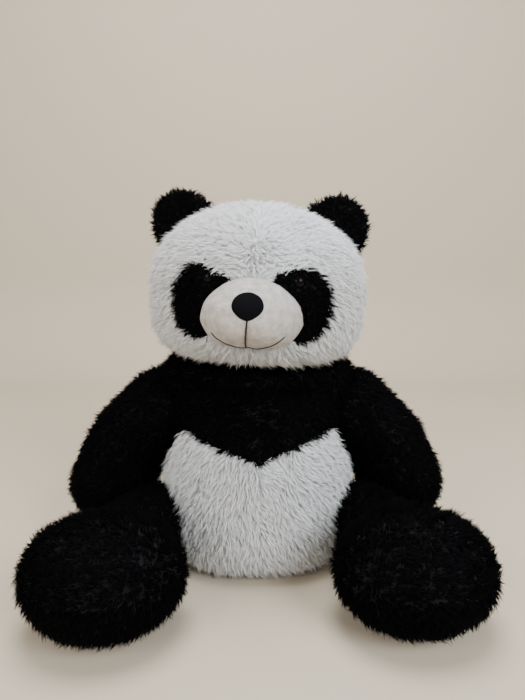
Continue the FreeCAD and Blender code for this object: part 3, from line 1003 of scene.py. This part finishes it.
def make_ears():
    for side, sign in SIDES.items():
        rng = np.random.default_rng(40 + int(sign))
        verts, faces = ear_skin(sign)
        body = "ear_" + side
        skin = new_object(
            "ear_skin_" + side, from_head(verts), faces, BLACK_CLOTH, body
        )
        base = EAR_BASE * np.array([sign, 1.0, 1.0])

        def regions(place, facing, rng):
            outward = unit(place - base) * np.array([1.0, 0.3, 1.0])
            mask = np.ones(len(place), dtype=bool)
            length = np.full(len(place), EAR_PILE)
            return {"ear_pile_" + side: ("black", mask, outward, length, 1.6)}

        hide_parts("ear_front_" + side, "ear_back_" + side)
        cover(verts, faces, regions, body, rng, placed=rest_head)


def on_belly(points):
    """True where the front of the torso is white: below the yoke's V and inside its straight sides."""
    across = np.abs(points[:, 0])
    share = np.clip(across / BELLY_CORNER[0], 0.0, 1.0) ** 0.65
    notch = BELLY_NOTCH_Z + (BELLY_CORNER[1] - BELLY_NOTCH_Z) * share
    side = np.interp(across, [BELLY_CORNER[0], BELLY_SIDE[0]], [BELLY_CORNER[1], BELLY_SIDE[1]])
    top = np.where(across < BELLY_CORNER[0], notch, side)
    return (points[:, 2] < top) & (across < BELLY_SIDE[0] + 2.0)


def torso_regions(place, facing, rng):
    """The torso's pile: a black yoke over a white belly and back, each panel brushed its own way."""
    x = place[:, 0]
    front = place[:, 1] < 0
    wobble = place + 1.0 * rng.normal(size=place.shape)
    white = np.where(front, on_belly(wobble), wobble[:, 2] < BACK_YOKE_Z)
    grown = (place[:, 2] > SEAT_BARE_Z) & ~limb_cover(place)
    beside_neck = np.hypot(x / NECK_BARE[0], place[:, 1] / NECK_BARE[1]) > 1.0
    grown &= beside_neck | (place[:, 2] < NECK_MIDDLE[2])
    down = np.full_like(x, -1.0)
    level = np.zeros_like(x)
    right_fur = np.stack([np.full_like(x, 0.12), level, down], axis=1)
    left_fur = np.stack([np.full_like(x, 0.75), level, down], axis=1)
    belly = np.where((x > 0)[:, None], left_fur, right_fur)
    plain = np.stack([0.3 * np.sign(x), level, down], axis=1)
    comb = np.where((white & front)[:, None], belly, plain)
    length = np.where(white, WHITE_BODY_PILE, BLACK_BODY_PILE)
    left = x > 0
    return {
        "belly_pile_left": ("white", grown & white & front & left, comb, length, 1.0),
        "belly_pile_right": ("white", grown & white & front & ~left, comb, length, 1.0),
        "back_pile_left": ("white", grown & white & ~front & left, comb, length, 0.7),
        "back_pile_right": ("white", grown & white & ~front & ~left, comb, length, 0.7),
        "chest_pile": ("black", grown & ~white & front, comb, length, 1.1),
        "shoulder_pile": ("black", grown & ~white & ~front, comb, length, 1.0),
    }


def make_torso():
    verts, faces = torso_skin()
    skin = new_object("torso_skin", verts, faces, BLACK_CLOTH, "torso")
    skin.data.materials.append(WHITE_CLOTH)
    middles = verts[faces].mean(axis=1)
    white = np.where(middles[:, 1] < 0, on_belly(middles), middles[:, 2] < BACK_YOKE_Z)
    skin.data.polygons.foreach_set("material_index", white.astype(np.int32))
    stuffing = ["torso_stuffing", "neck_stuffing"]
    stuffing += ["shoulder_stuffing_" + side for side in SIDES]
    stuffing += ["hip_stuffing_" + side for side in SIDES]
    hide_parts(*stuffing)
    rng = np.random.default_rng(7)
    pieces = cover(verts, faces, torso_regions, "torso", rng, FLOOR_GAP)
    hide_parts("chest_yoke")
    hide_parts("back_yoke")
    for side in SIDES:
        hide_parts("belly_panel_" + side)
        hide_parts("back_panel_" + side)
    make_closing_seam(verts, faces)


def make_closing_seam(verts, faces):
    """Hand stitches that close the back, in line with the CAD seam."""
    low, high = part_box("closing_seam")
    tree = BVHTree.FromPolygons([tuple(v) for v in verts], [tuple(map(int, f)) for f in faces])
    line = []
    for z in np.linspace(low[2] / MM, high[2] / MM, 40):
        spot, _, _, _ = tree.ray_cast(Vector((0.0, 200.0, z)), Vector((0, -1, 0)))
        line.append(np.array(spot) + np.array([0.0, 0.4, 0.0]))
    verts, faces = thread_mesh(np.array(line), 0.8, 4.0)
    piece = new_object("closing_thread", verts, faces, WHITE_THREAD, "torso")
    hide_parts("closing_seam")


def limb_cover(points):
    """True where a point of the torso lies well inside the root of an arm or a leg, in every pose."""
    inside = np.zeros(len(points), dtype=bool)
    for sign in SIDES.values():
        shoulder, _ = arm_ends(sign)
        hip, _ = leg_ends(sign)
        inside |= np.linalg.norm(points - shoulder, axis=1) < ARM_BURIED_R
        inside |= np.linalg.norm(points - hip, axis=1) < LEG_BURIED_R
    return inside


def make_arms():
    for side, sign in SIDES.items():
        rng = np.random.default_rng(60 + int(sign))
        verts, faces = arm_skin(sign)
        body = "arm_" + side
        skin = new_object("arm_skin_" + side, verts, faces, BLACK_CLOTH, body)
        first, last = arm_ends(sign)
        brushed = unit(last - first) + np.array([0.25 * sign, 0.0, 0.0])

        def regions(place, facing, rng):
            comb = np.tile(brushed, (len(place), 1))
            mask = np.ones(len(place), dtype=bool)
            length = np.full(len(place), ARM_PILE)
            return {"arm_pile_" + side: ("black", mask, comb, length, 1.0)}

        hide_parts("arm_stuffing_" + side, "arm_inner_" + side)
        pieces = cover(verts, faces, regions, body, rng)
        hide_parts("arm_outer_" + side)


def make_legs():
    for side, sign in SIDES.items():
        rng = np.random.default_rng(80 + int(sign))
        verts, faces = leg_skin(sign)
        body = "leg_" + side
        skin = new_object("leg_skin_" + side, verts, faces, BLACK_CLOTH, body)
        first, last = leg_ends(sign)
        along = unit(last - first)

        def regions(place, facing, rng):
            parted = np.tanh((place[:, 2] - last[2]) / 5.0)
            comb = np.tile(along * 0.5 + np.array([0.15 * sign, 0.0, -0.2]), (len(place), 1))
            comb[:, 2] += 0.6 * parted
            length = np.where(place[:, 2] < SOLE_PILE_TOP_Z, SOLE_PILE, LEG_PILE)
            mask = np.ones(len(place), dtype=bool)
            return {"leg_pile_" + side: ("black", mask, comb, length, 1.0)}

        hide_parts("leg_stuffing_" + side, "leg_lower_" + side)
        pieces = cover(verts, faces, regions, body, rng, FLOOR_GAP)
        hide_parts("leg_upper_" + side)


# ---- stage ----

def make_stage():
    """A pale floor that sweeps up into a pale wall behind."""
    front, radius, depth, width, height = -2.0, 0.25, 0.9, 3.0, 2.2
    steps = 12
    profile = [(front, 0.0), (depth - radius, 0.0)]
    for step in range(1, steps + 1):
        turn = math.pi / 2 * step / steps
        y = depth - radius + radius * math.sin(turn)
        profile.append((y, radius - radius * math.cos(turn)))
    profile.append((depth, height))
    verts, faces = [], []
    for y, z in profile:
        verts += [(-width, y, z), (width, y, z)]
    for i in range(len(profile) - 1):
        faces.append((2 * i, 2 * i + 1, 2 * i + 3, 2 * i + 2))
    mesh = bpy.data.meshes.new("floor")
    mesh.from_pydata(verts, [], faces)
    mesh.shade_smooth()
    floor = bpy.data.objects.new("floor", mesh)
    bpy.context.collection.objects.link(floor)
    material, _, _, shader = material_base("floor_paint", 0.8)
    shader.inputs["Base Color"].default_value = (0.61, 0.53, 0.41, 1.0)
    mesh.materials.append(material)
    floor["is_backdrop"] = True


def add_light(name, place, target, size, power, colour):
    light = bpy.data.lights.new(name, "AREA")
    light.shape = "DISK"
    light.size = size
    light.energy = power
    light.color = colour
    holder = bpy.data.objects.new(name, light)
    bpy.context.collection.objects.link(holder)
    holder.location = place
    look = Vector(target) - Vector(place)
    holder.rotation_euler = look.to_track_quat("-Z", "Y").to_euler()


def make_lights():
    aim = (0.0, -0.05, 0.18)
    add_light("key", (1.0, -1.3, 1.1), aim, 1.0, 33.0, (0.94, 0.97, 1.0))
    add_light("fill", (-1.1, -1.3, 0.9), aim, 1.1, 18.0, (1.0, 0.94, 0.86))
    add_light("top", (0.0, -0.1, 1.7), aim, 0.9, 26.0, (1.0, 1.0, 1.0))
    world = bpy.data.worlds.new("world")
    world.use_nodes = True
    background = world.node_tree.nodes["Background"]
    background.inputs["Color"].default_value = (0.80, 0.81, 0.84, 1.0)
    background.inputs["Strength"].default_value = 0.35
    bpy.context.scene.world = world


def make_camera():
    """A wide camera close in front of the panda's face, tipped down a little."""
    data = bpy.data.cameras.new("camera")
    data.sensor_width = 36.0
    data.lens = 27.05
    camera = bpy.data.objects.new("camera", data)
    bpy.context.collection.objects.link(camera)
    camera.location = (-0.008, -0.515, 0.285)
    camera.rotation_euler = (math.radians(90.0 - 9.7), 0.0, math.radians(-1.5))
    bpy.context.scene.camera = camera


def main():
    make_camera()
    make_stage()
    make_lights()
    make_head()
    make_eyes()
    make_muzzle()
    make_ears()
    make_torso()
    make_arms()
    make_legs()
    sizes = {"cad": cad_bounds, "visual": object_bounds()}
    sizes = {name: [list(map(float, corner)) for corner in box] for name, box in sizes.items()}


main()
